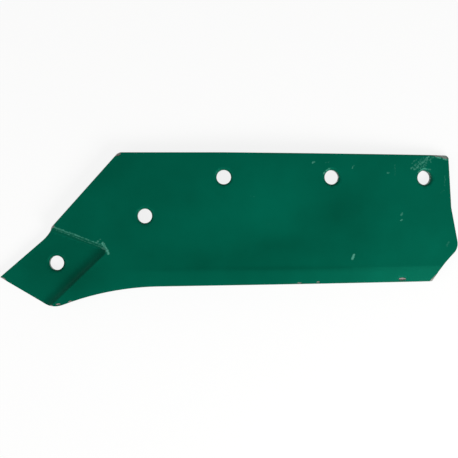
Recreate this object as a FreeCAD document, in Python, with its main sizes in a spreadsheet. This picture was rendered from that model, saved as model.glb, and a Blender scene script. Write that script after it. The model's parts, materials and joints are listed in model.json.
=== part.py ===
import FreeCAD, Part
import itertools
import math
import os
import Sketcher
from types import SimpleNamespace
from FreeCAD import Placement, Rotation, Vector

# Left-hand plough share with a pressed-back seat for a bolt-on point.
# Plan sizes are measured from the middle bolt hole: X runs along the bolt row towards the heel,
# Y towards the mouldboard edge, Z out of the soil face. The flat back of the plate is at Z = 0.
SIZES = {
    # rolled section of the plate, with its tapered cutting edge
    "plate_thick": 10.0,
    "edge_distance": 119.35,
    "edge_rise_deg": 0.95,
    "face_bevel_width": 17.0,
    "face_bevel_drop": 1.8,
    "back_bevel_width": 24.0,
    "back_bevel_drop": 4.2,
    "belly_start": 74.0,
    "fade_to_seat": 6.0,
    "heel_radius": 1450.0,
    # bolt holes
    "pitch_mid": 119.5,
    "pitch_heel": 104.5,
    "lower_hole_back": 87.0,
    "lower_hole_drop": 42.8,
    "point_hole_back": 185.0,
    "point_hole_drop": 94.7,
    "bolt_hole_dia": 16.0,
    "rim_dia": 20.2,
    # outline
    "tip_reach": 247.5,
    "tip_drop": 110.5,
    "shoulder_width": 11.2,
    "shoulder_height": 15.3,
    "step_reach": 189.3,
    "landside_deg": 48.2,
    "top_corner_radius": 8.0,
    "top_margin": 27.3,
    "top_fall_deg": 0.5,
    "heel_corner_radius": 3.0,
    "heel_lean_deg": 3.3,
    "heel_mid_margin": 30.3,
    "heel_mid_drop": 33.2,
    "heel_flare_deg": 10.75,
    "heel_point_drop": 73.6,
    "heel_point_radius": 15.0,
    "scoop_radius": 150.0,
    "heel_low_margin": 8.9,
    "belly_radius": 310.0,
    "nose_corner_radius": 26.0,
    "point_low_deg": 30.4,
    # seat for the point
    "seat_depth": 8.0,
    "seat_corner_back": 136.0,
    "seat_corner_drop": 80.8,
    "seat_corner_radius": 6.5,
    "step_deg": 19.9,
    "seat_wall_deg": 43.8,
    "wall_taper_deg": 33.5,
    "seat_foot_radius": 14.0,
    "foot_run": 104.0,
    "foot_bury": 4.0,
    "foot_sink": 1.0,
    "back_foot_radius": 3.0,
    "back_rim_radius": 6.0,
    # rounding of the soil-side edges
    "edge_radius": 1.0,
    # slanting flats at the upper corner of the heel and at the lower end of its scoop
    "corner_flat_length": 19.0,
    "corner_flat_width": 3.6,
    "corner_flat_depth": 7.0,
    "scoop_flat_deg": 41.1,
    "scoop_flat_length": 19.6,
    "scoop_flat_width": 2.8,
    "scoop_flat_depth": 4.5,
    "flat_margin": 12.0,
    # plate to spare around the outline, and how far past the plate the cuts begin and end
    "seat_side_margin": 23.0,
    "seat_end_margin": 41.0,
    "edge_overhang": 10.0,
    "top_overhang": 15.0,
    "heel_overhang": 32.0,
    "nose_overhang": 19.0,
    "frame_margin": 15.0,
    "trim_margin": 16.0,
    "hole_lift": 1.0,
}

NODE = "share_blade"

# formulas that several features share
HEEL_HOLE = "(Sizes.pitch_mid + Sizes.pitch_heel)"
HEEL_MID = f"({HEEL_HOLE} + Sizes.heel_mid_margin)"
HEEL_LOW = f"({HEEL_HOLE} + Sizes.heel_low_margin)"
HEEL_TOP = (
    f"({HEEL_MID} - (Sizes.heel_mid_drop + Sizes.top_margin) * tan(Sizes.heel_lean_deg * 1 deg))"
)
HEEL_TURN = f"asin(({HEEL_MID} + Sizes.heel_overhang) / Sizes.heel_radius)"
FADE_END = "(Sizes.seat_corner_back - Sizes.fade_to_seat)"
STEP_TURN, WALL_TURN = "(Sizes.step_deg * 1 deg)", "(Sizes.seat_wall_deg * 1 deg)"
TIP_BACK = "(Sizes.tip_reach - Sizes.seat_corner_back)"
TIP_UNDER = "(Sizes.tip_drop - Sizes.seat_corner_drop)"
SEAT_SPAN = (
    f"(({TIP_BACK} * sin({WALL_TURN}) - {TIP_UNDER} * cos({WALL_TURN}))"
    f" / sin({WALL_TURN} + {STEP_TURN}) + Sizes.seat_side_margin)"
)
SEAT_RUN = (
    f"(({TIP_UNDER} * cos({STEP_TURN}) + {TIP_BACK} * sin({STEP_TURN}))"
    f" / sin({WALL_TURN} + {STEP_TURN}) + Sizes.seat_end_margin)"
)
STEP_DROP = (
    "(Sizes.seat_corner_drop - (Sizes.seat_corner_radius + (Sizes.step_reach"
    f" - Sizes.seat_corner_back) * sin({STEP_TURN})) / cos({STEP_TURN}))"
)
NOSE_STOCK = (
    f"(Sizes.seat_corner_back + {SEAT_SPAN} * cos({STEP_TURN})"
    f" + {SEAT_RUN} * cos({WALL_TURN}) + Sizes.nose_overhang)"
)
LOW_STOCK = f"(Sizes.seat_corner_drop + {SEAT_RUN} * sin({WALL_TURN}) + Sizes.nose_overhang)"


def make_sheet(doc):
    sheet = doc.addObject("Spreadsheet::Sheet", "Sizes")
    for row, (alias, value) in enumerate(SIZES.items(), start=1):
        sheet.set(f"A{row}", alias)
        sheet.set(f"B{row}", str(value))
        sheet.setAlias(f"B{row}", alias)
    doc.recompute()
    return sheet


def origin_plane(body, role):
    return next(item for item in body.Origin.OriginFeatures if item.Role == role)


def new_sketch(body, name, role="XY_Plane", turn_axis=Vector(0, 0, 1), offset=None):
    """Sketch on an origin plane of the body; offset gives formulas for its x, y, z and turn."""
    sketch = body.newObject("Sketcher::SketchObject", name)
    sketch.AttachmentSupport = [(origin_plane(body, role), "")]
    sketch.MapMode = "FlatFace"
    sketch.AttachmentOffset = Placement(Vector(), Rotation(turn_axis, 1))
    formulas = {"x": "0", "y": "0", "z": "0", "turn": "0"} | (offset or {})
    for axis in "xyz":
        sketch.setExpression(f"AttachmentOffset.Base.{axis}", formulas[axis])
    sketch.setExpression("AttachmentOffset.Rotation.Angle", f"({formulas['turn']}) * 1 deg")
    return sketch


def value_of(sketch, formula):
    return float(sketch.evalExpression(formula))


def set_size(sketch, name, kind, refs, formula):
    """Adds a dimension whose value follows a formula of the sheet's cells."""
    value = value_of(sketch, formula)
    if kind == "Angle":
        value = math.radians(value)
    index = sketch.addConstraint(Sketcher.Constraint(kind, *refs, value))
    sketch.renameConstraint(index, name)
    sketch.setExpression(f"Constraints.{name}", formula)


def tie(sketch, kind, *refs):
    sketch.addConstraint(Sketcher.Constraint(kind, *refs))


def place_point(sketch, name, geometry, end, x, y):
    set_size(sketch, f"{name}_x", "DistanceX", (-1, 1, geometry, end), x)
    set_size(sketch, f"{name}_y", "DistanceY", (-1, 1, geometry, end), y)


def heading(degrees):
    return Vector(math.cos(math.radians(degrees)), math.sin(math.radians(degrees)), 0)


def line(sketch, start, end):
    return sketch.addGeometry(Part.LineSegment(start, end), False)


def arc(sketch, centre, start, end):
    """Counter-clockwise arc from start to end."""
    first, last = (math.atan2(p.y - centre.y, p.x - centre.x) for p in (start, end))
    if last < first:
        last += 2 * math.pi
    circle = Part.Circle(centre, Vector(0, 0, 1), (start - centre).Length)
    return sketch.addGeometry(Part.ArcOfCircle(circle, first, last), False)


def polygon(sketch, corners):
    """Closed outline through corners, each given as an x and a y formula."""
    points = [Vector(value_of(sketch, x), value_of(sketch, y), 0) for x, y in corners]
    sides = [line(sketch, a, b) for a, b in zip(points, points[1:] + points[:1])]
    for side, following in zip(sides, sides[1:] + sides[:1]):
        tie(sketch, "Coincident", side, 2, following, 1)
    for number, (side, (x, y)) in enumerate(zip(sides, corners), start=1):
        place_point(sketch, f"corner{number}", side, 1, x, y)
    return sides


def section(body, name, reach, plain):
    """Section across the rolled plate, a distance along the cutting edge from the middle hole."""
    offset = {
        "x": f"-({reach}) * sin(Sizes.edge_rise_deg * 1 deg)",
        "z": f"-({reach}) * cos(Sizes.edge_rise_deg * 1 deg)",
        "turn": "Sizes.edge_rise_deg",
    }
    sketch = new_sketch(body, name, "YZ_Plane", Vector(0, 1, 0), offset)
    low = LOW_STOCK if plain else "(Sizes.edge_distance + Sizes.edge_overhang)"
    drops = {"face": "0", "back": "0"}
    if not plain:
        for side in drops:
            stretch = f"(1 + Sizes.edge_overhang / Sizes.{side}_bevel_width)"
            drops[side] = f"Sizes.{side}_bevel_drop * {stretch}"
    top = "Sizes.top_margin + Sizes.top_overhang"
    corners = [
        (top, "0"),
        (top, "Sizes.plate_thick"),
        ("Sizes.face_bevel_width - Sizes.edge_distance", "Sizes.plate_thick"),
        (f"-{low}", f"Sizes.plate_thick - {drops['face']}"),
        (f"-{low}", drops["back"]),
        ("Sizes.back_bevel_width - Sizes.edge_distance", "0"),
    ]
    polygon(sketch, corners)
    return sketch


def pad(body, name, sketch, length, reverse=False, taper=None):
    feature = body.newObject("PartDesign::Pad", name)
    feature.Profile = sketch
    feature.Reversed = reverse
    feature.setExpression("Length", length)
    if taper:
        feature.setExpression("TaperAngle", taper)
    return feature


def pocket(body, name, sketch, length, taper=None):
    feature = body.newObject("PartDesign::Pocket", name)
    feature.Profile = sketch
    feature.setExpression("Length", length)
    if taper:
        feature.setExpression("TaperAngle", taper)
    return feature


def rolled_plate(body):
    """Plate with a tapered cutting edge, curved back towards the heel and plain at the nose."""
    middle = section(body, "MiddleSection", "0", plain=False)
    pad(body, "Middle", middle, "Sizes.belly_start", reverse=True)

    heel_section = section(body, "HeelSection", "0", plain=False)
    bend_drop = "Sizes.plate_thick - Sizes.heel_radius"
    start = Vector(0, value_of(heel_section, bend_drop), 0)
    end = start + Vector(value_of(heel_section, "Sizes.plate_thick"), 0, 0)
    axis = heel_section.addGeometry(Part.LineSegment(start, end), True)
    tie(heel_section, "Horizontal", axis)
    place_point(heel_section, "bend", axis, 1, "0", bend_drop)
    set_size(heel_section, "bend_length", "DistanceX", (axis, 1, axis, 2), "Sizes.plate_thick")
    heel = body.newObject("PartDesign::Revolution", "Heel")
    heel.Profile = heel_section
    heel.ReferenceAxis = (heel_section, ["Axis0"])
    heel.setExpression("Angle", HEEL_TURN)

    fade_start = section(body, "FadeStart", "Sizes.belly_start", plain=False)
    fade_end = section(body, "FadeEnd", FADE_END, plain=True)
    fade = body.newObject("PartDesign::AdditiveLoft", "BevelFade")
    fade.Profile = fade_start
    fade.Sections = [fade_end]
    fade.Ruled = True

    nose = section(body, "NoseSection", FADE_END, plain=True)
    return pad(body, "Nose", nose, f"{NOSE_STOCK} - {FADE_END}", reverse=True)


def seat_outline(body, name, height, grow):
    """Four-sided seat outline with a rounded inner corner, open past the nose."""
    sketch = new_sketch(body, name, offset={"z": height})
    radius = f"Sizes.seat_corner_radius + {grow}"
    step_way, wall_way = "180 - Sizes.step_deg", "Sizes.seat_wall_deg - 180"
    to_step = heading(value_of(sketch, step_way))
    to_nose = heading(value_of(sketch, wall_way))
    step_normal = Vector(to_step.y, -to_step.x, 0)
    wall_normal = Vector(-to_nose.y, to_nose.x, 0)
    corner_x, corner_y = "-Sizes.seat_corner_back", "-Sizes.seat_corner_drop"
    centre = Vector(value_of(sketch, corner_x), value_of(sketch, corner_y), 0)
    round_size = value_of(sketch, radius)
    on_step = centre + step_normal * round_size
    on_wall = centre + wall_normal * round_size
    step_end = on_step + to_step * value_of(sketch, SEAT_SPAN)
    wall_end = on_wall + to_nose * value_of(sketch, SEAT_RUN)
    far = step_end + wall_end - (on_step + on_wall) / 2
    corner = arc(sketch, centre, on_wall, on_step)
    step = line(sketch, on_step, step_end)
    outer = line(sketch, step_end, far)
    lower = line(sketch, far, wall_end)
    wall = line(sketch, on_wall, wall_end)
    tie(sketch, "Tangent", corner, 2, step, 1)
    tie(sketch, "Tangent", corner, 1, wall, 1)
    tie(sketch, "Coincident", step, 2, outer, 1)
    tie(sketch, "Coincident", outer, 2, lower, 1)
    tie(sketch, "Coincident", lower, 2, wall, 2)
    tie(sketch, "Parallel", outer, wall)
    tie(sketch, "Parallel", lower, step)
    place_point(sketch, "corner", corner, 3, corner_x, corner_y)
    set_size(sketch, "corner_radius", "Radius", (corner,), radius)
    set_size(sketch, "step_angle", "Angle", (step,), step_way)
    set_size(sketch, "wall_angle", "Angle", (wall,), wall_way)
    set_size(sketch, "span", "Distance", (step,), SEAT_SPAN)
    set_size(sketch, "run", "Distance", (wall,), SEAT_RUN)
    return sketch


def normal_z(face):
    first, last, low, high = face.ParameterRange
    return face.normalAt((first + last) / 2, (low + high) / 2).z


def is_sloped(face):
    return isinstance(face.Surface, (Part.Plane, Part.Cone)) and 0.2 < abs(normal_z(face)) < 0.9


def wall_edges(shape, height):
    """Names of the level edges of the sloped walls at a height."""
    level = [
        edge
        for face in filter(is_sloped, shape.Faces)
        for edge in face.Edges
        if abs(edge.BoundBox.ZMin - height) < 1e-3 and abs(edge.BoundBox.ZMax - height) < 1e-3
    ]
    return [
        f"Edge{number}"
        for number, edge in enumerate(shape.Edges, start=1)
        if any(edge.isSame(other) for other in level)
    ]


def fillet(body, name, base, edges, radius):
    feature = body.newObject("PartDesign::Fillet", name)
    feature.Base = (base, edges)
    feature.setExpression("Radius", radius)
    body.Document.recompute()
    return feature


def soft_foot(body):
    """Concave filling along the foot of the seat's long wall, as a press leaves it."""
    bury = "Sizes.foot_bury"
    offset = {
        "x": f"{bury} * cos({WALL_TURN}) - Sizes.seat_corner_back",
        "z": f"Sizes.seat_corner_drop - {bury} * sin({WALL_TURN})",
        "turn": "Sizes.seat_wall_deg - 90",
    }
    sketch = new_sketch(body, "SoftFootSection", "XZ_Plane", Vector(0, 1, 0), offset)
    slope = "(90 - Sizes.wall_taper_deg) * 1 deg"
    floor = "Sizes.plate_thick - Sizes.seat_depth"
    foot = "Sizes.seat_corner_radius - Sizes.seat_depth * tan(Sizes.wall_taper_deg * 1 deg)"
    reach = f"Sizes.seat_foot_radius * tan({slope} / 2)"
    start = (f"{foot} - {reach}", floor)
    end = (f"{foot} + {reach} * cos({slope})", f"{floor} + {reach} * sin({slope})")
    behind = (f"{end[0]} + {bury}", end[1])
    under = (behind[0], f"{floor} - Sizes.foot_sink")
    below = (start[0], under[1])
    corners = [start, below, under, behind, end]
    points = [Vector(value_of(sketch, x), value_of(sketch, y), 0) for x, y in corners]
    centre = points[0] + Vector(0, value_of(sketch, "Sizes.seat_foot_radius"), 0)
    sides = [line(sketch, a, b) for a, b in zip(points, points[1:])]
    for side, following in zip(sides, sides[1:]):
        tie(sketch, "Coincident", side, 2, following, 1)
    for number, (side, (x, y)) in enumerate(zip(sides, corners), start=1):
        place_point(sketch, f"corner{number}", side, 1, x, y)
    place_point(sketch, "corner5", sides[-1], 2, *end)
    hollow = arc(sketch, centre, points[0], points[-1])
    tie(sketch, "Coincident", hollow, 1, sides[0], 1)
    tie(sketch, "Coincident", hollow, 2, sides[-1], 2)
    set_size(sketch, "hollow_radius", "Radius", (hollow,), "Sizes.seat_foot_radius")
    return pad(body, "SoftFoot", sketch, "Sizes.foot_run")


def seat(body):
    """Nose pressed back by the seat depth: a swelling behind and an open recess in front."""
    doc = body.Document
    depth = value_of(body, "Sizes.seat_depth")
    grow = "Sizes.plate_thick * tan((90 - Sizes.wall_taper_deg) / 2 * 1 deg)"
    sketch = seat_outline(body, "SwellingOutline", "0", grow)
    swelling = pad(body, "Swelling", sketch, "Sizes.seat_depth", True, "-Sizes.wall_taper_deg")
    doc.recompute()
    foot = wall_edges(swelling.Shape, 0)
    swelling = fillet(body, "SwellingFoot", swelling, foot, "Sizes.back_foot_radius")
    rim = wall_edges(swelling.Shape, -depth)
    fillet(body, "SwellingRim", swelling, rim, "Sizes.back_rim_radius")

    sketch = seat_outline(body, "SeatOutline", "Sizes.plate_thick", "0")
    pocket(body, "Seat", sketch, "Sizes.seat_depth", "-Sizes.wall_taper_deg")
    return soft_foot(body)


def crossing(first, first_radius, second, second_radius, side):
    """Where two circles cross, to the left (1) or right (-1) of the way from first to second."""
    way = second - first
    gap = way.Length
    along = (gap**2 + first_radius**2 - second_radius**2) / (2 * gap)
    off = math.sqrt(first_radius**2 - along**2)
    unit = way / gap
    return first + unit * along + Vector(-unit.y, unit.x, 0) * (side * off)


def meeting(point, way, other_point, other_way):
    """Where two lines meet in the plan."""
    gap = other_point - point
    return point + way * (gap.cross(other_way).z / way.cross(other_way).z)


def right_of(way):
    return Vector(way.y, -way.x, 0)


def tangent_arc(sketch, start, way, end):
    """Arc that leaves start along way and reaches end, with the numbers of its two ends."""
    chord = end - start
    reach = chord.Length**2 / (2 * chord.dot(-right_of(way)))
    centre = start - right_of(way) * reach
    if reach > 0:
        return arc(sketch, centre, start, end), 1, 2
    return arc(sketch, centre, end, start), 2, 1


def outline_plan(sketch):
    """Corners of the outline and the ways of its straights, clockwise with the steel on the right."""
    size = {alias: value_of(sketch, f"Sizes.{alias}") for alias in SIZES}
    step = Vector(-size["step_reach"], -value_of(sketch, STEP_DROP), 0)
    edge_way = heading(size["edge_rise_deg"] + 180)
    edge_foot = right_of(edge_way) * -size["edge_distance"]
    low_end = Vector(value_of(sketch, HEEL_LOW), 0, 0)
    return SimpleNamespace(
        size=size,
        tip=Vector(-size["tip_reach"], -size["tip_drop"], 0),
        nose_end=step - Vector(size["shoulder_width"], size["shoulder_height"], 0),
        step=step,
        landside_way=heading(size["landside_deg"]),
        bend=Vector(0, size["top_margin"], 0),
        flat_way=heading(0),
        fall_way=heading(-size["top_fall_deg"]),
        heel_mid=Vector(value_of(sketch, HEEL_MID), -size["heel_mid_drop"], 0),
        lean_way=heading(size["heel_lean_deg"] - 90),
        flare_way=heading(size["heel_flare_deg"] - 90),
        edge_way=edge_way,
        heel_low=meeting(edge_foot, edge_way, low_end, Vector(0, 1, 0)),
        belly=edge_foot + edge_way * size["belly_start"],
        low_way=heading(180 - size["point_low_deg"]),
    )


def rounded_corner(sketch, name, corner, way, next_way, turn_deg):
    """Corner arc of a sheet radius; also gives where the straights before and after it end."""
    radius = value_of(sketch, f"Sizes.{name}_radius")
    cut = radius * math.tan(math.radians(turn_deg / 2))
    before, after = corner - way * cut, corner + next_way * cut
    rounding = arc(sketch, before + right_of(way) * radius, after, before)
    set_size(sketch, name, "Radius", (rounding,), f"Sizes.{name}_radius")
    return rounding, before, after


def nose_upper_side(sketch, plan):
    """Nose edge from the tip, and the hollow shoulder up to the step."""
    nose_edge = line(sketch, plan.tip, plan.nose_end)
    way = (plan.nose_end - plan.tip).normalize()
    shoulder, foot, head = tangent_arc(sketch, plan.nose_end, way, plan.step)
    tie(sketch, "Tangent", nose_edge, 2, shoulder, foot)
    place_point(sketch, "tip", nose_edge, 1, "-Sizes.tip_reach", "-Sizes.tip_drop")
    place_point(sketch, "step", shoulder, head, "-Sizes.step_reach", f"-{STEP_DROP}")
    ends = (nose_edge, 2, shoulder, head)
    set_size(sketch, "shoulder_width", "DistanceX", ends, "Sizes.shoulder_width")
    set_size(sketch, "shoulder_height", "DistanceY", ends, "Sizes.shoulder_height")
    return nose_edge, (shoulder, head)


def mouldboard_side(sketch, plan, step_end):
    """Landside edge, its rounded corner, the mouldboard edge and the upper half of the heel."""
    top_left = meeting(plan.step, plan.landside_way, plan.bend, plan.flat_way)
    top_right = meeting(plan.bend, plan.fall_way, plan.heel_mid, plan.lean_way)
    turn = plan.size["landside_deg"]
    top_corner, landside_end, flat_start = rounded_corner(
        sketch, "top_corner", top_left, plan.landside_way, plan.flat_way, turn
    )
    landside = line(sketch, plan.step, landside_end)
    top_flat = line(sketch, flat_start, plan.bend)
    turn = 90 - plan.size["heel_lean_deg"] - plan.size["top_fall_deg"]
    heel_corner, fall_end, heel_start = rounded_corner(
        sketch, "heel_corner", top_right, plan.fall_way, plan.lean_way, turn
    )
    top_fall = line(sketch, plan.bend, fall_end)
    heel_upper = line(sketch, heel_start, plan.heel_mid)
    tie(sketch, "Coincident", *step_end, landside, 1)
    tie(sketch, "Tangent", landside, 2, top_corner, 2)
    tie(sketch, "Tangent", top_corner, 1, top_flat, 1)
    tie(sketch, "Horizontal", top_flat)
    tie(sketch, "Coincident", top_flat, 2, top_fall, 1)
    tie(sketch, "Tangent", top_fall, 2, heel_corner, 2)
    tie(sketch, "Tangent", heel_corner, 1, heel_upper, 1)
    set_size(sketch, "landside_angle", "Angle", (landside,), "Sizes.landside_deg")
    place_point(sketch, "bend", top_flat, 2, "0", "Sizes.top_margin")
    set_size(sketch, "top_fall", "Angle", (top_fall,), "-Sizes.top_fall_deg")
    set_size(sketch, "heel_lean", "Angle", (heel_upper,), "Sizes.heel_lean_deg - 90")
    place_point(sketch, "heel_mid", heel_upper, 2, HEEL_MID, "-Sizes.heel_mid_drop")
    return [landside, top_corner, top_flat, top_fall, heel_corner, heel_upper]


def heel_end(sketch, plan, heel_upper):
    """Flare of the heel, its rounded point and the scooped lower end."""
    point_radius, scoop_radius = plan.size["heel_point_radius"], plan.size["scoop_radius"]
    inner = plan.heel_mid + right_of(plan.flare_way) * point_radius
    level = Vector(0, -plan.size["heel_point_drop"], 0)
    centre = meeting(inner, plan.flare_way, level, plan.flat_way)
    reach = point_radius + scoop_radius
    scoop_centre = crossing(centre, reach, plan.heel_low, scoop_radius, 1)
    out = centre - right_of(plan.flare_way) * point_radius
    touch = centre + (scoop_centre - centre) * (point_radius / reach)
    heel_lower = line(sketch, plan.heel_mid, out)
    heel_point = arc(sketch, centre, touch, out)
    scoop = arc(sketch, scoop_centre, touch, plan.heel_low)
    tie(sketch, "Coincident", heel_upper, 2, heel_lower, 1)
    tie(sketch, "Tangent", heel_lower, 2, heel_point, 2)
    tie(sketch, "Tangent", heel_point, 1, scoop, 1)
    set_size(sketch, "flare", "Angle", (heel_lower,), "Sizes.heel_flare_deg - 90")
    set_size(sketch, "heel_point", "Radius", (heel_point,), "Sizes.heel_point_radius")
    drop = "-Sizes.heel_point_drop"
    set_size(sketch, "heel_point_y", "DistanceY", (-1, 1, heel_point, 3), drop)
    set_size(sketch, "scoop", "Radius", (scoop,), "Sizes.scoop_radius")
    return [heel_lower, heel_point, scoop]


def cutting_side(sketch, plan, scoop, nose_edge):
    """Cutting edge, belly curve and the rounded lower corner of the nose."""
    belly_radius, corner_radius = plan.size["belly_radius"], plan.size["nose_corner_radius"]
    belly_centre = plan.belly - right_of(plan.edge_way) * belly_radius
    inner = plan.tip + right_of(plan.low_way) * corner_radius
    reach = belly_radius + corner_radius
    foot = meeting(inner, plan.low_way, belly_centre, right_of(plan.low_way))
    off = math.sqrt(reach**2 - (foot - belly_centre).Length ** 2)
    corner_centre = foot + plan.low_way * off
    touch = belly_centre + (corner_centre - belly_centre) * (belly_radius / reach)
    low_start = corner_centre - right_of(plan.low_way) * corner_radius
    edge = line(sketch, plan.belly, plan.heel_low)
    belly_curve = arc(sketch, belly_centre, plan.belly, touch)
    nose_corner = arc(sketch, corner_centre, low_start, touch)
    nose_low = line(sketch, plan.tip, low_start)
    tie(sketch, "Coincident", scoop, 2, edge, 2)
    tie(sketch, "Tangent", edge, 1, belly_curve, 1)
    tie(sketch, "Tangent", belly_curve, 2, nose_corner, 2)
    tie(sketch, "Tangent", nose_corner, 1, nose_low, 2)
    tie(sketch, "Coincident", nose_low, 1, nose_edge, 1)
    set_size(sketch, "edge_angle", "Angle", (edge,), "Sizes.edge_rise_deg")
    set_size(sketch, "edge_distance", "Distance", (-1, 1, edge), "Sizes.edge_distance")
    set_size(sketch, "edge_length_x", "DistanceX", (-1, 1, edge, 2), HEEL_LOW)
    start = "-Sizes.belly_start * cos(Sizes.edge_rise_deg * 1 deg)"
    start += " + Sizes.edge_distance * sin(Sizes.edge_rise_deg * 1 deg)"
    set_size(sketch, "belly_start", "DistanceX", (-1, 1, edge, 1), start)
    set_size(sketch, "belly", "Radius", (belly_curve,), "Sizes.belly_radius")
    set_size(sketch, "nose_corner", "Radius", (nose_corner,), "Sizes.nose_corner_radius")
    set_size(sketch, "nose_low", "Angle", (nose_low,), "-Sizes.point_low_deg")


def outline(body):
    """Cuts the plan outline out of the stock; gives the curves whose soil-side edge is rounded."""
    sketch = new_sketch(body, "Outline", offset={"z": "Sizes.plate_thick + Sizes.trim_margin"})
    left = f"-{NOSE_STOCK} - Sizes.frame_margin"
    right = f"{HEEL_MID} + Sizes.heel_overhang + Sizes.frame_margin"
    low = f"-{LOW_STOCK} - Sizes.frame_margin"
    high = "Sizes.top_margin + Sizes.top_overhang + Sizes.frame_margin"
    polygon(sketch, [(left, low), (left, high), (right, high), (right, low)])
    plan = outline_plan(sketch)
    nose_edge, step_end = nose_upper_side(sketch, plan)
    rounded = mouldboard_side(sketch, plan, step_end)
    rounded += heel_end(sketch, plan, rounded[-1])
    cutting_side(sketch, plan, rounded[-1], nose_edge)
    fall = f"Sizes.heel_radius * (1 - cos({HEEL_TURN}))"
    depth = f"Sizes.plate_thick + Sizes.seat_depth + {fall} + 2 * Sizes.trim_margin"
    trim = pocket(body, "Trim", sketch, depth)
    body.Document.recompute()
    return trim, [sketch.Geometry[number].toShape() for number in rounded]


def on_heel(reach):
    """Turn and height of the curved face at a distance along the bolt row from the middle hole."""
    turn = f"asin({reach} / Sizes.heel_radius)"
    return turn, f"Sizes.plate_thick - Sizes.heel_radius * (1 - cos({turn}))"


def bolt_hole(body, name, x, y, height, turn="0"):
    """Through hole with a chamfered rim, square to the face; cut from just above the face."""
    lift = "Sizes.hole_lift"
    offset = {
        "x": f"{x} + {lift} * sin({turn})",
        "y": y,
        "z": f"{height} + {lift} * cos({turn})",
        "turn": f"{turn} / 1 deg",
    }
    across = heading(value_of(body, "Sizes.edge_rise_deg") + 90)
    sketch = new_sketch(body, f"{name}Centre", "XY_Plane", across, offset)
    circle = Part.Circle(Vector(), Vector(0, 0, 1), value_of(sketch, "Sizes.bolt_hole_dia") / 2)
    ring = sketch.addGeometry(circle, False)
    tie(sketch, "Coincident", ring, 3, -1, 1)
    set_size(sketch, "diameter", "Diameter", (ring,), "Sizes.bolt_hole_dia")
    body.Document.recompute()
    hole = body.newObject("PartDesign::Hole", name)
    hole.Profile = sketch
    hole.DepthType = "ThroughAll"
    hole.setExpression("Diameter", "Sizes.bolt_hole_dia")
    hole.HoleCutType = "Countersink"
    hole.HoleCutCustomValues = True
    hole.HoleCutCountersinkAngle = 90
    hole.setExpression("HoleCutDiameter", f"Sizes.rim_dia + 2 * {lift}")
    body.Document.recompute()
    return hole


def bolt_holes(body):
    """One hole in the seat, two in the flat plate and two in the curved heel."""
    face, seat_floor = "Sizes.plate_thick", "Sizes.plate_thick - Sizes.seat_depth"
    point = ("-Sizes.point_hole_back", "-Sizes.point_hole_drop", seat_floor)
    bolt_hole(body, "PointHole", *point)
    bolt_hole(body, "LowerHole", "-Sizes.lower_hole_back", "-Sizes.lower_hole_drop", face)
    bolt_hole(body, "MiddleHole", "0", "0", face)
    for name, reach in (
        ("BendHole", "Sizes.pitch_mid"),
        ("HeelHole", HEEL_HOLE),
    ):
        turn, height = on_heel(reach)
        last = bolt_hole(body, name, reach, "0", height, turn)
    return last


def slanting_flat(body, name, reach, corners, width, depth):
    """Cuts the plate's edge at a slant: width comes off the face, and none at the given depth."""
    turn, height = on_heel(reach)
    offset = {
        "x": f"{reach} + Sizes.hole_lift * sin({turn})",
        "z": f"{height} + Sizes.hole_lift * cos({turn})",
        "turn": f"{turn} / 1 deg",
    }
    sketch = new_sketch(body, f"{name}Outline", "XY_Plane", Vector(0, 1, 0), offset)
    polygon(sketch, corners)
    taper = f"-atan({width} / {depth}) / 1 deg"
    return pocket(body, name, sketch, "Sizes.plate_thick + Sizes.hole_lift", taper)


def corner_flat(body):
    """Flat along the mouldboard edge that widens to the heel's upper corner."""
    width, depth = "Sizes.corner_flat_width", "Sizes.corner_flat_depth"
    grown = f"({width} * (1 + Sizes.hole_lift / {depth}))"
    top = f"(Sizes.top_margin - {HEEL_TOP} * tan(Sizes.top_fall_deg * 1 deg))"
    left, right = "(Sizes.corner_flat_length + Sizes.flat_margin)", "Sizes.flat_margin"
    slope = f"{grown} / Sizes.corner_flat_length"
    corners = [
        (f"-{left}", f"{top} - {grown} + {slope} * {left}"),
        (right, f"{top} - {grown} - {slope} * {right}"),
        (right, f"{top} + Sizes.flat_margin"),
        (f"-{left}", f"{top} + Sizes.flat_margin"),
    ]
    return slanting_flat(body, "CornerFlat", HEEL_TOP, corners, width, depth)


def scoop_flat(body):
    """Flat along the scoop that widens to the end of the cutting edge."""
    width, depth = "Sizes.scoop_flat_width", "Sizes.scoop_flat_depth"
    grown = f"({width} * (1 + Sizes.hole_lift / {depth}))"
    cosine, sine = (f"{turn}(Sizes.scoop_flat_deg * 1 deg)" for turn in ("cos", "sin"))
    rise = "Sizes.edge_rise_deg * 1 deg"
    low = f"({HEEL_LOW} * tan({rise}) - Sizes.edge_distance / cos({rise}))"
    ends = "-Sizes.flat_margin", "(Sizes.scoop_flat_length + Sizes.flat_margin)"
    corners = [
        (f"{way} * {cosine} + {out} * {sine}", f"{low} + {way} * {sine} - {out} * {cosine}")
        for way, out in (
            (ends[0], f"-{grown}"),
            (ends[1], f"-{grown}"),
            (ends[1], "Sizes.flat_margin"),
            (ends[0], "Sizes.flat_margin"),
        )
    ]
    return slanting_flat(body, "ScoopFlat", HEEL_LOW, corners, width, depth)


def soil_edges(shape, curves):
    """Names of the soil-side edges that follow the given curves of the outline."""
    soil = [edge for face in shape.Faces if normal_z(face) > 0.9 for edge in face.Edges]
    names = []
    for number, edge in enumerate(shape.Edges, start=1):
        spot = edge.valueAt((edge.FirstParameter + edge.LastParameter) / 2)
        spot = Part.Vertex(Vector(spot.x, spot.y, 0))
        if min(curve.distToShape(spot)[0] for curve in curves) < 1e-3:
            if any(edge.isSame(other) for other in soil):
                names.append(f"Edge{number}")
    return names


def rounded_rim(body, base, curves):
    """Light rounding of the seat's rim and the soil-side edges, all but the cutting edge and nose."""
    height = value_of(body, "Sizes.plate_thick")
    edges = soil_edges(base.Shape, curves) + wall_edges(base.Shape, height)
    return fillet(body, "Rim", base, edges, "Sizes.edge_radius")


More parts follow.
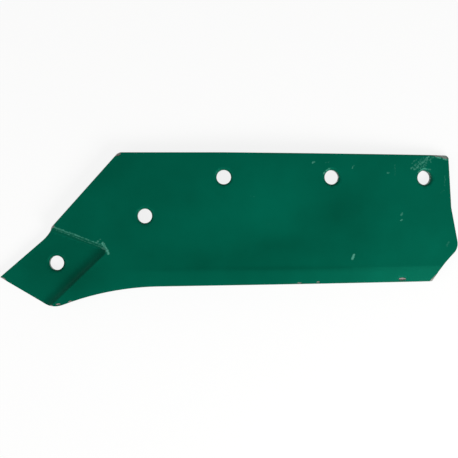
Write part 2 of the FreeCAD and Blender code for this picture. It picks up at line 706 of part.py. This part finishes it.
def resting_turn(shape):
    """Turn that brings the share onto the three corners that it lies on, soil face up."""
    centre = shape.Solids[0].CenterOfMass
    points = [vertex.Point for vertex in shape.Vertexes if vertex.Point.z < centre.z]
    for trio in itertools.combinations(points, 3):
        normal = (trio[1] - trio[0]).cross(trio[2] - trio[0])
        if abs(normal.z) < 0.9 * normal.Length or normal.Length < 1:
            continue
        normal = normal / math.copysign(normal.Length, normal.z)
        if min((point - trio[0]).dot(normal) for point in points) < -1e-3:
            continue
        under = centre - normal * (centre - trio[0]).dot(normal)
        sides = zip(trio, trio[1:] + trio[:1])
        turns = [(end - start).cross(under - start).dot(normal) for start, end in sides]
        if min(turns) > 0 or max(turns) < 0:
            return Rotation(normal, Vector(0, 0, 1))
    raise RuntimeError("the share finds no three corners to lie on")


def lay_down(body):
    """Rests the share on the ground, with the origin under the middle of its outline."""
    turn = resting_turn(body.Shape)
    body.Placement = Placement(Vector(), turn)
    box = body.Shape.optimalBoundingBox()
    middle = box.Center
    body.Placement = Placement(Vector(-middle.x, -middle.y, -box.ZMin), turn)


def check(doc):
    """Stops before anything is written if a feature or a sub-part failed."""
    for item in doc.Objects:
        if "Invalid" in item.State or "Error" in item.State:
            raise RuntimeError(f"{item.Name} failed: {item.State}")
        if item.TypeId == "PartDesign::Body":
            if item.Shape.isNull() or not item.Shape.isValid() or len(item.Shape.Solids) != 1:
                raise RuntimeError(f"{item.Name} isn't one valid solid")


def main():
    doc = FreeCAD.newDocument("plough_share")
    make_sheet(doc)
    share = doc.addObject("PartDesign::Body", NODE)
    share.Label = NODE
    rolled_plate(share)
    doc.recompute()
    seat(share)
    trim, rounded = outline(share)
    rounded_rim(share, trim, rounded)
    bolt_holes(share)
    corner_flat(share)
    share.Tip = scoop_flat(share)
    doc.recompute()
    lay_down(share)
    doc.recompute()
    check(doc)
    os.makedirs("parts", exist_ok=True)
    share.Shape.exportStep(f"parts/{share.Label}.step")
    box = share.Shape.optimalBoundingBox()
    print(f"{share.Label}: {box.XLength:.1f} x {box.YLength:.1f} x {box.ZLength:.1f} mm,")
    print(f"{share.Shape.Volume / 1000:.0f} cm3, {len(share.Shape.Faces)} faces")


main()
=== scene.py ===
import json
import math

import bmesh
import bpy
from mathutils import Matrix, Vector, noise


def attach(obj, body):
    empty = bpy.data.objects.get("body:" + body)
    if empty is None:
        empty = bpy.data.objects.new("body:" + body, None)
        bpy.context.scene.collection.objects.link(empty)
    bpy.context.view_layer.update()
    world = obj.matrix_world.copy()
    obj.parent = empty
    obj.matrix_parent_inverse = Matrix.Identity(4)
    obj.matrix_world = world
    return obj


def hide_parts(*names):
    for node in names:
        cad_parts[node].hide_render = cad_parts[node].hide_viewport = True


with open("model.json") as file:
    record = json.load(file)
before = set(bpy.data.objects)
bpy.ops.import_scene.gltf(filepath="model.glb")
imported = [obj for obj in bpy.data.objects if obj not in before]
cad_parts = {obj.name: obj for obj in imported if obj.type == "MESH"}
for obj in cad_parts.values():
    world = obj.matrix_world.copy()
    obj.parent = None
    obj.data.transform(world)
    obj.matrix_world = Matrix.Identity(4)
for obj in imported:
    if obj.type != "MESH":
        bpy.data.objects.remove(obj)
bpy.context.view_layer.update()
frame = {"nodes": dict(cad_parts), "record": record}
print("frame loaded")

mm = 0.001


# ---- small helpers ----

def srgb(hexColour):
    # hex as given on screen, turned to the linear values that Blender works in
    levels = [int(hexColour[i:i + 2], 16) / 255 for i in (1, 3, 5)]
    linear = [v / 12.92 if v <= 0.04045 else ((v + 0.055) / 1.055) ** 2.4 for v in levels]
    return (*linear, 1.0)


def addNode(tree, kind, settings=None, **links):
    # one node with its properties; links go by socket name, or by number as i0, i1 and so on
    node = tree.nodes.new(kind)
    for name, value in (settings or {}).items():
        setattr(node, name, value)
    for name, value in links.items():
        socket = node.inputs[int(name[1:])] if name[0] == "i" and name[1:].isdigit() else node.inputs[name]
        if isinstance(value, bpy.types.NodeSocket):
            tree.links.new(value, socket)
        else:
            socket.default_value = value
    return node


# ---- where the plate lies ----

mounts = {mount["name"]: mount for mount in frame["record"]["mounts"]}
faceNormal = Vector(mounts["middle_bolt"]["axis"]).normalized()
middleHole = Vector(mounts["middle_bolt"]["pos_m"])
alongRow = Vector(mounts["bend_bolt"]["pos_m"]) - middleHole
alongRow = (alongRow - faceNormal * alongRow.dot(faceNormal)).normalized()
upPlate = faceNormal.cross(alongRow)


def onPlate(x, y, z=0.0):
    # point given in millimetres from the middle hole: along the row, up the plate, out of the face
    return middleHole + (alongRow * x + upPlate * y + faceNormal * z) * mm


# ---- camera ----

camera = {
    "distance": 1430,     # from the face, square to the flat of the plate
    "alongRow": 5.8,
    "belowRow": 57.2,
    "faceHeight": 6.1,    # the face above the middle of the bore's wall
    "widthSeen": 503.8,
    "sensor": 36,
}


def makeCamera(c):
    # looks square at the flat of the plate, with the row of holes level
    data = bpy.data.cameras.new("camera")
    data.sensor_width = c["sensor"]
    data.lens = c["sensor"] * c["distance"] / c["widthSeen"]
    data.clip_start, data.clip_end = 0.05, 20
    seer = bpy.data.objects.new("camera", data)
    bpy.context.collection.objects.link(seer)
    turn = Matrix((alongRow, upPlate, faceNormal)).transposed().to_4x4()
    spot = onPlate(c["alongRow"], -c["belowRow"], c["faceHeight"] + c["distance"])
    seer.matrix_world = Matrix.Translation(spot) @ turn
    bpy.context.scene.camera = seer


makeCamera(camera)
print("camera placed")


# ---- paint ----

paint = {
    "green": "#016650",
    # darker green, for the random tone and for painted shade
    "darkToneAndShadeGreen": "#014634",
    # pale green, for scuffs and for painted highlights
    "paleScuffAndGlint": "#4B9580",
    "steel": "#8E8683",
    "roughness": 0.34,
    "gloss": 0.3,
    "glossTint": "#20C09A",
    "steelRoughness": 0.55,
    "steelMetal": 0.2,
    # widths of one blot, in millimetres, and how much the broad ones change the tone at random
    "broadBlot": 45,
    "scuffAndGlintBlot": 1.6,
    "bareBlot": 2.5,
    "blotDepth": 0.5,
    # sum of a mark's level and blot at which the mark begins to show, and shows in full; the marks are wear,
    # scuffs and painted highlights
    "showFrom": 0.95,
    "showTo": 1.3,
    # orange peel of the enamel
    "peelWidth": 5,
    "peelHeight": 0.15,
    "peelStrength": 0.12,
}


def emptyMaterial(name):
    material = bpy.data.materials.new(name)
    material.use_nodes = True
    material.node_tree.nodes.clear()
    return material, material.node_tree


def blots(tree, place, width):
    # noise in object coordinates; the width of one blot is in millimetres
    noiseNode = addNode(tree, "ShaderNodeTexNoise", Vector=place, Scale=1 / (width * mm), Detail=3.0)
    return noiseNode.outputs["Fac"]


def attribute(tree, name):
    return addNode(tree, "ShaderNodeAttribute", {"attribute_name": name}).outputs["Fac"]


def wearAndGlintMask(tree, wearAndGlintLevel, pattern, p):
    # the higher the level of a spot, wear and painted highlight alike, the more of its blots show
    total = addNode(tree, "ShaderNodeMath", {"operation": "ADD"}, i0=wearAndGlintLevel, i1=pattern)
    mask = addNode(tree, "ShaderNodeMapRange", Value=total.outputs[0])
    mask.inputs["From Min"].default_value = p["showFrom"]
    mask.inputs["From Max"].default_value = p["showTo"]
    return mask.outputs["Result"]


def blend(tree, share, first, second):
    # colour mix; i6 and i7 are the two colour sockets
    return addNode(tree, "ShaderNodeMix", {"data_type": "RGBA"}, i0=share, i6=first, i7=second).outputs[2]


def makePaint(p):
    # thick green enamel with painted light and shade, scuffed, with painted highlights, and worn through to
    # steel where the attributes say so
    material, tree = emptyMaterial("greenEnamel")
    place = addNode(tree, "ShaderNodeTexCoord").outputs["Object"]
    # random tone plus the painted light and shade of the attribute
    toneAndPaintedShading = addNode(tree, "ShaderNodeMath", {"operation": "MULTIPLY_ADD", "use_clamp": True},
                   i0=blots(tree, place, p["broadBlot"]), i1=p["blotDepth"], i2=attribute(tree, "paintedShading"))
    colour = blend(tree, toneAndPaintedShading.outputs[0], srgb(p["green"]), srgb(p["darkToneAndShadeGreen"]))
    # pale scuffs and painted highlights
    paleScuffAndGlint = wearAndGlintMask(tree, attribute(tree, "scuffAndGlint"), blots(tree, place, p["scuffAndGlintBlot"]), p)
    colour = blend(tree, paleScuffAndGlint, colour, srgb(p["paleScuffAndGlint"]))
    through = wearAndGlintMask(tree, attribute(tree, "bare"), blots(tree, place, p["bareBlot"]), p)
    colour = blend(tree, through, colour, srgb(p["steel"]))
    peel = addNode(tree, "ShaderNodeBump", Strength=p["peelStrength"], Distance=p["peelHeight"] * mm,
                   Height=blots(tree, place, p["peelWidth"]))
    shader = addNode(tree, "ShaderNodeBsdfPrincipled", Roughness=p["roughness"], Normal=peel.outputs[0])
    shader.inputs["Specular IOR Level"].default_value = p["gloss"]
    shader.inputs["Specular Tint"].default_value = srgb(p["glossTint"])
    tree.links.new(colour, shader.inputs["Base Color"])
    addNode(tree, "ShaderNodeOutputMaterial", Surface=shader.outputs[0])
    return material


def makeSteel(p):
    # bare steel where the edge is chipped
    material, tree = emptyMaterial("chippedSteel")
    shader = addNode(tree, "ShaderNodeBsdfPrincipled", Roughness=p["steelRoughness"],
                     Metallic=p["steelMetal"])
    shader.inputs["Base Color"].default_value = srgb(p["steel"])
    addNode(tree, "ShaderNodeOutputMaterial", Surface=shader.outputs[0])
    return material


# ---- the blade: its knocks, its waves, its wear and its painted light and shade ----
# places are in millimetres from the middle hole: along the row, then up the plate

blade = {
    "cell": 3.0,              # width of one cell of the mesh
    "fineCuts": 3,            # cuts in each side of a cell that carries a mark
    "shortestCut": 1.4,       # sides under this stay whole
    "cutsAlong": (-250, 260),
    "cutsUp": (-145, 30),
    "flatDeg": 0.1,           # faces that meet at less than this become one
    "sharpDeg": 32,
    "chipLump": 0.35,
    "chipHeight": 1.1,        # height of a chip as a share of its bite
    "plainTone": 0.25,       # darkness of the enamel away from the painted light and shade below
    # broad swells of the rolled plate: place, reach, height
    "swells": [(35, -25, 60, 0.6), (125, -38, 28, -0.5), (-30, -90, 45, -0.5), (200, -65, 50, 0.4)],
    # painted light and shade: areas where the enamel is drawn darker for shade (the seat, the dark sweep, the
    # line above the bevel) and paler where light falls (the upper middle); place, reach each way, depth, below
    # nought for painted light
    "paintedShadingAreas": [(35, -20, 55, 42, -0.26), (205, -60, 50, 40, 0.0), (128, -35, 22, 26, 0.25),
               (-20, -92, 75, 16, 0.2), (70, -74, 50, 12, 0.2), (-190, -90, 45, 40, 0.2),
               (-150, -112, 30, 14, 0.2), (100, -101, 150, 3, 0.2), (-36, -25, 9, 9, 0.15),
               (-100, 0, 60, 30, 0.08)],
    # chips in the edge: place, length, bite, way of the edge in degrees
    "chips": [(-244, -113, 8, 1.3, -30), (-196, -139, 7, 1.3, -20), (-182, -140, 5, 1.0, 5),
              (-169, -137, 4, 0.9, 18), (-116, 25, 6, 1.3, 25), (201, -115, 9, 1.3, 1),
              (84, -118, 5, 0.7, 1), (105, -117, 4, 0.7, 1), (-190, -56, 4, 1.0, 48)],
    # scuffs, and painted highlights on the step's rim, on the upper left of the hole rims and in the glint
    # patch above the heel hole: two ends, half width, strength
    "scuffsAndGlints": [(-187, -55, -160, -65, 1.0, 0.62), (-160, -65, -134, -75, 0.9, 0.55),
               (-185, -58, -136, -77, 0.6, 0.55), (-133, -73, -127, -84, 1.5, 0.75),
               (-134, -78, -129, -80, 1.2, 0.7), (-141, -72, -136, -69, 0.9, 0.6),
               (98, 16, 100, 17, 0.9, 0.7), (112, 16, 117, 17, 0.6, 0.5), (142, 10, 144, 13, 0.8, 0.6),
               (181, 5, 184, 5, 0.9, 0.55), (190, 2, 190, 14, 0.6, 0.5), (197, -42, 198, -40, 1.0, 0.65),
               (196, -48, 198, -47, 0.8, 0.6), (142, -90, 144, -86, 1.2, 0.8), (28, -20, 35, -22, 0.8, 0.45),
               (48, -52, 54, -51, 0.8, 0.4), (246, -14, 247, 2, 0.7, 0.55), (242, -17, 243, -15, 0.8, 0.5),
               (249, -76, 251, -72, 1.0, 0.55), (208, 10, 222, 22, 1.2, 0.5), (212, 9, 228, 23, 1.4, 0.58),
               (217, 9, 234, 24, 1.2, 0.52), (223, 11, 231, 18, 1.0, 0.45), (236, 23, 250, 20, 0.8, 0.75),
               (209, 16, 216, 21, 0.8, 0.45), (216, 6, 222, 10, 0.9, 0.6), (222, 10, 230, 9, 0.9, 0.65),
               (-9, 3, -5, 8, 0.7, 0.5), (110, 4, 117, 10, 1.0, 0.62), (-95, -41, -93, -36, 0.7, 0.45)],
    # edges worn through to steel, given as the scuffs and painted highlights are
    "bareEdges": [(232, 26, 252, 22, 1.4, 0.7), (231, -116, 247, -101, 1.6, 0.75),
                  (-192, -58, -186, -54, 1.0, 0.6)],
}


def platePlace(point):
    away = (point - middleHole) / mm
    return away.dot(alongRow), away.dot(upPlate)


def reachTo(x, y, stroke):
    # distance from a place to a stroke, in millimetres
    ax, ay, bx, by = stroke[:4]
    dx, dy = bx - ax, by - ay
    share = max(0.0, min(1.0, ((x - ax) * dx + (y - ay) * dy) / (dx * dx + dy * dy)))
    return math.hypot(x - ax - dx * share, y - ay - dy * share)


def strokeLevelAt(x, y, strokes):
    # full strength in the middle of a stroke, none at twice its half width
    level = 0.0
    for stroke in strokes:
        fall = max(0.0, 1 - reachTo(x, y, stroke) / (2 * stroke[4]))
        level = max(level, stroke[5] * min(1.0, 1.6 * fall))
    return level


# painted light and shade: how far the enamel is drawn towards the darker green
def paintedShadingAt(x, y, b):
    return b["plainTone"] + sum(level * math.exp(-((x - dx) / wide) ** 2 - ((y - dy) / tall) ** 2)
                                 for dx, dy, wide, tall, level in b["paintedShadingAreas"])


def swellAt(x, y, b):
    return sum(high * math.exp(-((x - sx) ** 2 + (y - sy) ** 2) / reach ** 2)
               for sx, sy, reach, high in b["swells"])


def meshPiece(name, data, material):
    # object whose faces all have the material in that place of the slots
    data.polygons.foreach_set("material_index", [material] * len(data.polygons))
    piece = bpy.data.objects.new(name, data)
    bpy.context.collection.objects.link(piece)
    return piece


def chipCutter(b, surface):
    # lumpy balls set into the edge, joined in one mesh
    mesh = bmesh.new()
    for number, (x, y, length, bite, turn) in enumerate(b["chips"]):
        spot = surface.closest_point_on_mesh(onPlate(x, y, 12))[1]
        made = bmesh.ops.create_icosphere(mesh, subdivisions=3, radius=1)
        way = alongRow * math.cos(math.radians(turn)) + upPlate * math.sin(math.radians(turn))
        side = faceNormal.cross(way)
        for vertex in made["verts"]:
            lump = noise.noise(vertex.co * 1.7 + Vector((number * 7.3, 0, 0)))
            v = vertex.co * (1 + b["chipLump"] * lump)
            vertex.co = spot + (way * v.x * length / 2 + side * v.y * bite
                                + faceNormal * v.z * bite * b["chipHeight"]) * mm
    data = bpy.data.meshes.new("chips")
    mesh.to_mesh(data)
    mesh.free()
    return data


def chipEdge(piece, b, surface, materials):
    # takes the chips out of the edge; what they lay open is steel
    data = chipCutter(b, surface)
    for material in materials:
        data.materials.append(material)
    knives = meshPiece("chips", data, 1)
    cut = piece.modifiers.new("chips", "BOOLEAN")
    cut.operation, cut.solver, cut.object = "DIFFERENCE", "EXACT", knives
    chipped = bpy.data.meshes.new_from_object(piece.evaluated_get(bpy.context.evaluated_depsgraph_get()))
    piece.modifiers.clear()
    piece.data = chipped
    bpy.data.objects.remove(knives)


def refine(mesh, b):
    # even cells over the whole plate, and finer ones under each mark
    bmesh.ops.dissolve_limit(mesh, angle_limit=math.radians(b["flatDeg"]), verts=mesh.verts,
                             edges=mesh.edges, delimit={"MATERIAL"})
    for way, (low, high) in ((alongRow, b["cutsAlong"]), (upPlate, b["cutsUp"])):
        for step in range(int((high - low) / b["cell"])):
            bmesh.ops.bisect_plane(mesh, geom=mesh.verts[:] + mesh.edges[:] + mesh.faces[:], dist=1e-7,
                                   plane_co=middleHole + way * (low + step * b["cell"]) * mm, plane_no=way)
    strokes = b["scuffsAndGlints"] + b["bareEdges"]
    marked = set()
    for face in mesh.faces:
        x, y = platePlace(face.calc_center_median())
        if face.normal.dot(faceNormal) > 0.2 and any(reachTo(x, y, s) < b["cell"] + 2 * s[4] for s in strokes):
            marked.update(face.edges)
    long = [edge for edge in mesh.edges if edge in marked and edge.calc_length() > b["shortestCut"] * mm]
    bmesh.ops.subdivide_edges(mesh, edges=long, cuts=b["fineCuts"], use_grid_fill=True)
    bmesh.ops.triangulate(mesh, faces=[face for face in mesh.faces if len(face.verts) > 4])


def markWearAndPaintedLight(mesh, b):
    # writes the wear, the painted highlights and the painted light and shade that the enamel reads, and lays
    # the plate's swells
    scuffAndGlint, bare, paintedShading = (mesh.verts.layers.float.new(name) for name in ("scuffAndGlint", "bare", "paintedShading"))
    mesh.normal_update()
    for vertex in mesh.verts:
        x, y = platePlace(vertex.co)
        if vertex.normal.dot(faceNormal) > -0.2:
            # scuffs and painted highlights
            vertex[scuffAndGlint] = strokeLevelAt(x, y, b["scuffsAndGlints"])
            vertex[bare] = strokeLevelAt(x, y, b["bareEdges"])
        # painted light and shade for the enamel
        vertex[paintedShading] = paintedShadingAt(x, y, b)
        vertex.co += faceNormal * swellAt(x, y, b) * mm


def makeBlade(b, p):
    source = frame["nodes"]["share_blade"]
    mesh = bmesh.new()
    mesh.from_mesh(source.data)
    bmesh.ops.remove_doubles(mesh, verts=mesh.verts, dist=0.001 * mm)
    data = bpy.data.meshes.new("blade")
    mesh.to_mesh(data)
    mesh.free()
    materials = [makePaint(p), makeSteel(p)]
    data.materials.clear()
    for material in materials:
        data.materials.append(material)
    piece = meshPiece("blade", data, 0)
    chipEdge(piece, b, source, materials)
    print("edge chipped")

    mesh = bmesh.new()
    mesh.from_mesh(piece.data)
    refine(mesh, b)
    markWearAndPaintedLight(mesh, b)
    mesh.to_mesh(piece.data)
    mesh.free()
    piece.data.shade_smooth()
    piece.data.set_sharp_from_angle(angle=math.radians(b["sharpDeg"]))
    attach(piece, "root")
    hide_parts("share_blade")


makeBlade(blade, paint)
print("blade dressed")


# ---- floor and lights ----

studio = {
    "floorColour": "#F4F4F2",
    "floorSize": 6.0,
    "floorGlow": 0.86,       # share of plain white that the eye sees, over the shadow
    "worldZenith": 0.06,
    "worldHorizon": 0.55,
    "zenithFrom": 0.95,      # heights, out of one, between which the sky goes from one to the other
    "horizonTo": 0.2,
}


def makeFloor(s):
    # white paper that keeps the shadow
    half = s["floorSize"] / 2
    mesh = bpy.data.meshes.new("floor")
    corners = [(-half, -half, 0), (half, -half, 0), (half, half, 0), (-half, half, 0)]
    mesh.from_pydata(corners, [], [(0, 1, 2, 3)])
    floor = bpy.data.objects.new("floor", mesh)
    bpy.context.collection.objects.link(floor)
    material, tree = emptyMaterial("paperFloor")
    paper = addNode(tree, "ShaderNodeBsdfDiffuse", Color=srgb(s["floorColour"]))
    glow = addNode(tree, "ShaderNodeEmission", Color=(1, 1, 1, 1), Strength=1.0)
    path = addNode(tree, "ShaderNodeLightPath")
    seen = addNode(tree, "ShaderNodeMath", {"operation": "MAXIMUM"}, i0=path.outputs["Is Camera Ray"],
                   i1=path.outputs["Is Glossy Ray"])
    seen = addNode(tree, "ShaderNodeMath", {"operation": "MAXIMUM"}, i0=seen.outputs[0],
                   i1=path.outputs["Is Transmission Ray"])
    share = addNode(tree, "ShaderNodeMath", {"operation": "MULTIPLY"}, i0=seen.outputs[0], i1=s["floorGlow"])
    mix = addNode(tree, "ShaderNodeMixShader", i0=share.outputs[0], i1=paper.outputs[0], i2=glow.outputs[0])
    addNode(tree, "ShaderNodeOutputMaterial", Surface=mix.outputs[0])
    mesh.materials.append(material)


def makeWorld(s):
    # dim overhead, brighter towards the horizon
    world = bpy.data.worlds.new("studio")
    bpy.context.scene.world = world
    world.use_nodes = True
    tree = world.node_tree
    tree.nodes.clear()
    place = addNode(tree, "ShaderNodeTexCoord")
    split = addNode(tree, "ShaderNodeSeparateXYZ", Vector=place.outputs["Generated"])
    level = addNode(tree, "ShaderNodeMapRange", Value=split.outputs["Z"])
    level.inputs["From Min"].default_value = s["horizonTo"]
    level.inputs["From Max"].default_value = s["zenithFrom"]
    level.inputs["To Min"].default_value = s["worldHorizon"]
    level.inputs["To Max"].default_value = s["worldZenith"]
    sky = addNode(tree, "ShaderNodeBackground", Color=(1, 1, 1, 1), Strength=level.outputs["Result"])
    addNode(tree, "ShaderNodeOutputWorld", Surface=sky.outputs[0])


# places as on the plate, sizes in millimetres, power in watts
lamps = [
    {"name": "keyLamp", "spot": (640, -700, 820), "size": (800, 700), "power": 13.2},
    {"name": "fillLamp", "spot": (-700, -350, 900), "size": (800, 800), "power": 4.0},
]


def makeLamp(l):
    data = bpy.data.lights.new(l["name"], "AREA")
    data.shape = "RECTANGLE"
    data.size, data.size_y = (side * mm for side in l["size"])
    data.energy = l["power"]
    lamp = bpy.data.objects.new(l["name"], data)
    bpy.context.collection.objects.link(lamp)
    lamp.location = onPlate(*l["spot"])
    lamp.rotation_euler = (onPlate(0, -50) - lamp.location).to_track_quat("-Z", "Y").to_euler()


makeFloor(studio)
makeWorld(studio)
for lamp in lamps:
    makeLamp(lamp)
bpy.context.scene.view_settings.view_transform = "Standard"
print("studio lit")
